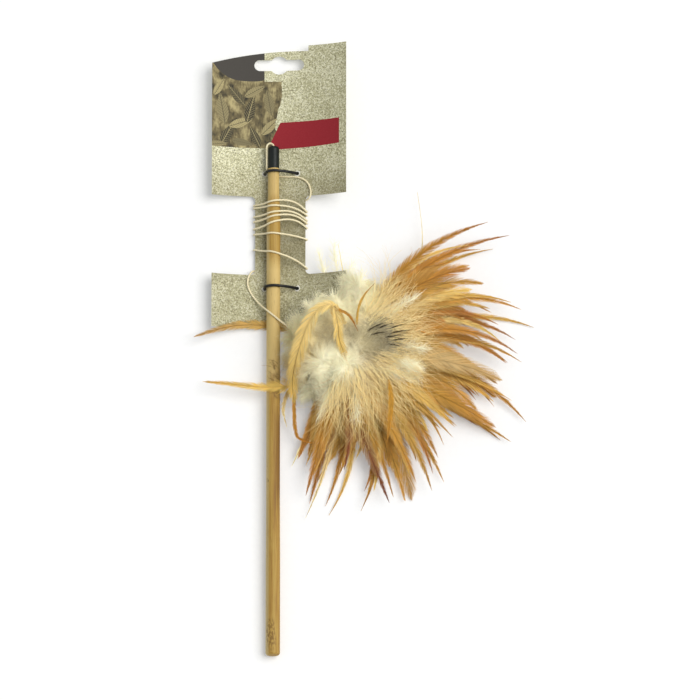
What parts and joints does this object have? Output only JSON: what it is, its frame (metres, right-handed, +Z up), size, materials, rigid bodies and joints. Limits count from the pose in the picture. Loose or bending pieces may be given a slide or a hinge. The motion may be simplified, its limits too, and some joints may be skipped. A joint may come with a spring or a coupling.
{
  "type": "cat teaser wand",
  "caption": "Wooden cat teaser wand with a rubber cap, a cord wound on its backing card and a lure of feathers held by a socket of thread.",
  "frame": {"origin": "on the surface that the packed toy lies on, below the middle of its length and width", "axes": "+Y along the wand from its free end to the hang slot, +X across the card towards the feathers, +Z up out of the card's face"},
  "size_m": [0.2177, 0.3999, 0.0464],
  "materials": {
    "ramin_wood": "bare, sanded, fine straight grain",
    "black_rubber": "dipped, satin",
    "recycled_board": "uncoated, speckled with fibres",
    "coated_wire": "gloss black coating",
    "cotton_cord": "braided, soft sheen",
    "binding_thread": "wound thread under down",
    "golden_feather": "barbs with a silky sheen",
    "saddle_feather": "broad barbs with a silky sheen",
    "cream_down": "loose down"
  },
  "bodies": {
    "wand_and_card": {"wand_stick": "ramin_wood", "end_cap": "black_rubber", "cap_knot": "cotton_cord", "backing_card": "recycled_board", "upper_tie": "coated_wire", "lower_tie": "coated_wire", "cord_lead": "cotton_cord", "cord_winding": "cotton_cord", "cord_tail": "cotton_cord"},
    "lure_stem": {"lure_knot": "cotton_cord", "feather_under_wand": "golden_feather", "feather_over_wand": "golden_feather"},
    "lure": {"lure_binding": "binding_thread", "hackle_feather_1": "golden_feather", "hackle_feather_2": "golden_feather", "hackle_feather_3": "golden_feather", "hackle_feather_4": "golden_feather", "hackle_feather_5": "golden_feather", "hackle_feather_6": "golden_feather", "hackle_feather_7": "golden_feather", "hackle_feather_8": "golden_feather", "hackle_feather_9": "golden_feather", "hackle_feather_10": "golden_feather", "hackle_feather_11": "golden_feather", "hackle_feather_12": "golden_feather", "hackle_feather_13": "golden_feather", "hackle_feather_14": "golden_feather", "hackle_feather_15": "golden_feather", "hackle_feather_16": "golden_feather", "hackle_feather_17": "golden_feather", "hackle_feather_18": "golden_feather", "hackle_feather_19": "golden_feather", "hackle_feather_20": "golden_feather", "hackle_feather_21": "golden_feather", "hackle_feather_22": "golden_feather", "hackle_feather_23": "golden_feather", "hackle_feather_24": "golden_feather", "saddle_feather_1": "saddle_feather", "saddle_feather_2": "saddle_feather", "saddle_feather_3": "saddle_feather", "saddle_feather_4": "saddle_feather", "saddle_feather_5": "saddle_feather", "down_plume_1": "cream_down", "down_plume_2": "cream_down", "down_plume_3": "cream_down", "down_plume_4": "cream_down", "down_plume_5": "cream_down", "down_plume_6": "cream_down", "down_plume_7": "cream_down", "down_plume_8": "cream_down", "down_plume_9": "cream_down", "feather_strand_1": "cream_down", "feather_strand_2": "cream_down", "arched_feather_1": "golden_feather", "arched_feather_2": "golden_feather"}
  },
  "joints": [
    {"name": "lure_swing", "type": "hinge", "parent": "wand_and_card", "child": "lure_stem", "pos_m": [-0.0239, 0.00194, 0.00902], "axis": [0, 0, 1], "range_deg": [0, 8]},
    {"name": "lure_lift", "type": "hinge", "parent": "lure_stem", "child": "lure", "pos_m": [-0.01485, 0.00002, 0.009], "axis": [-0.2079, -0.9781, 0], "range_deg": [0, 12]}
  ]
}
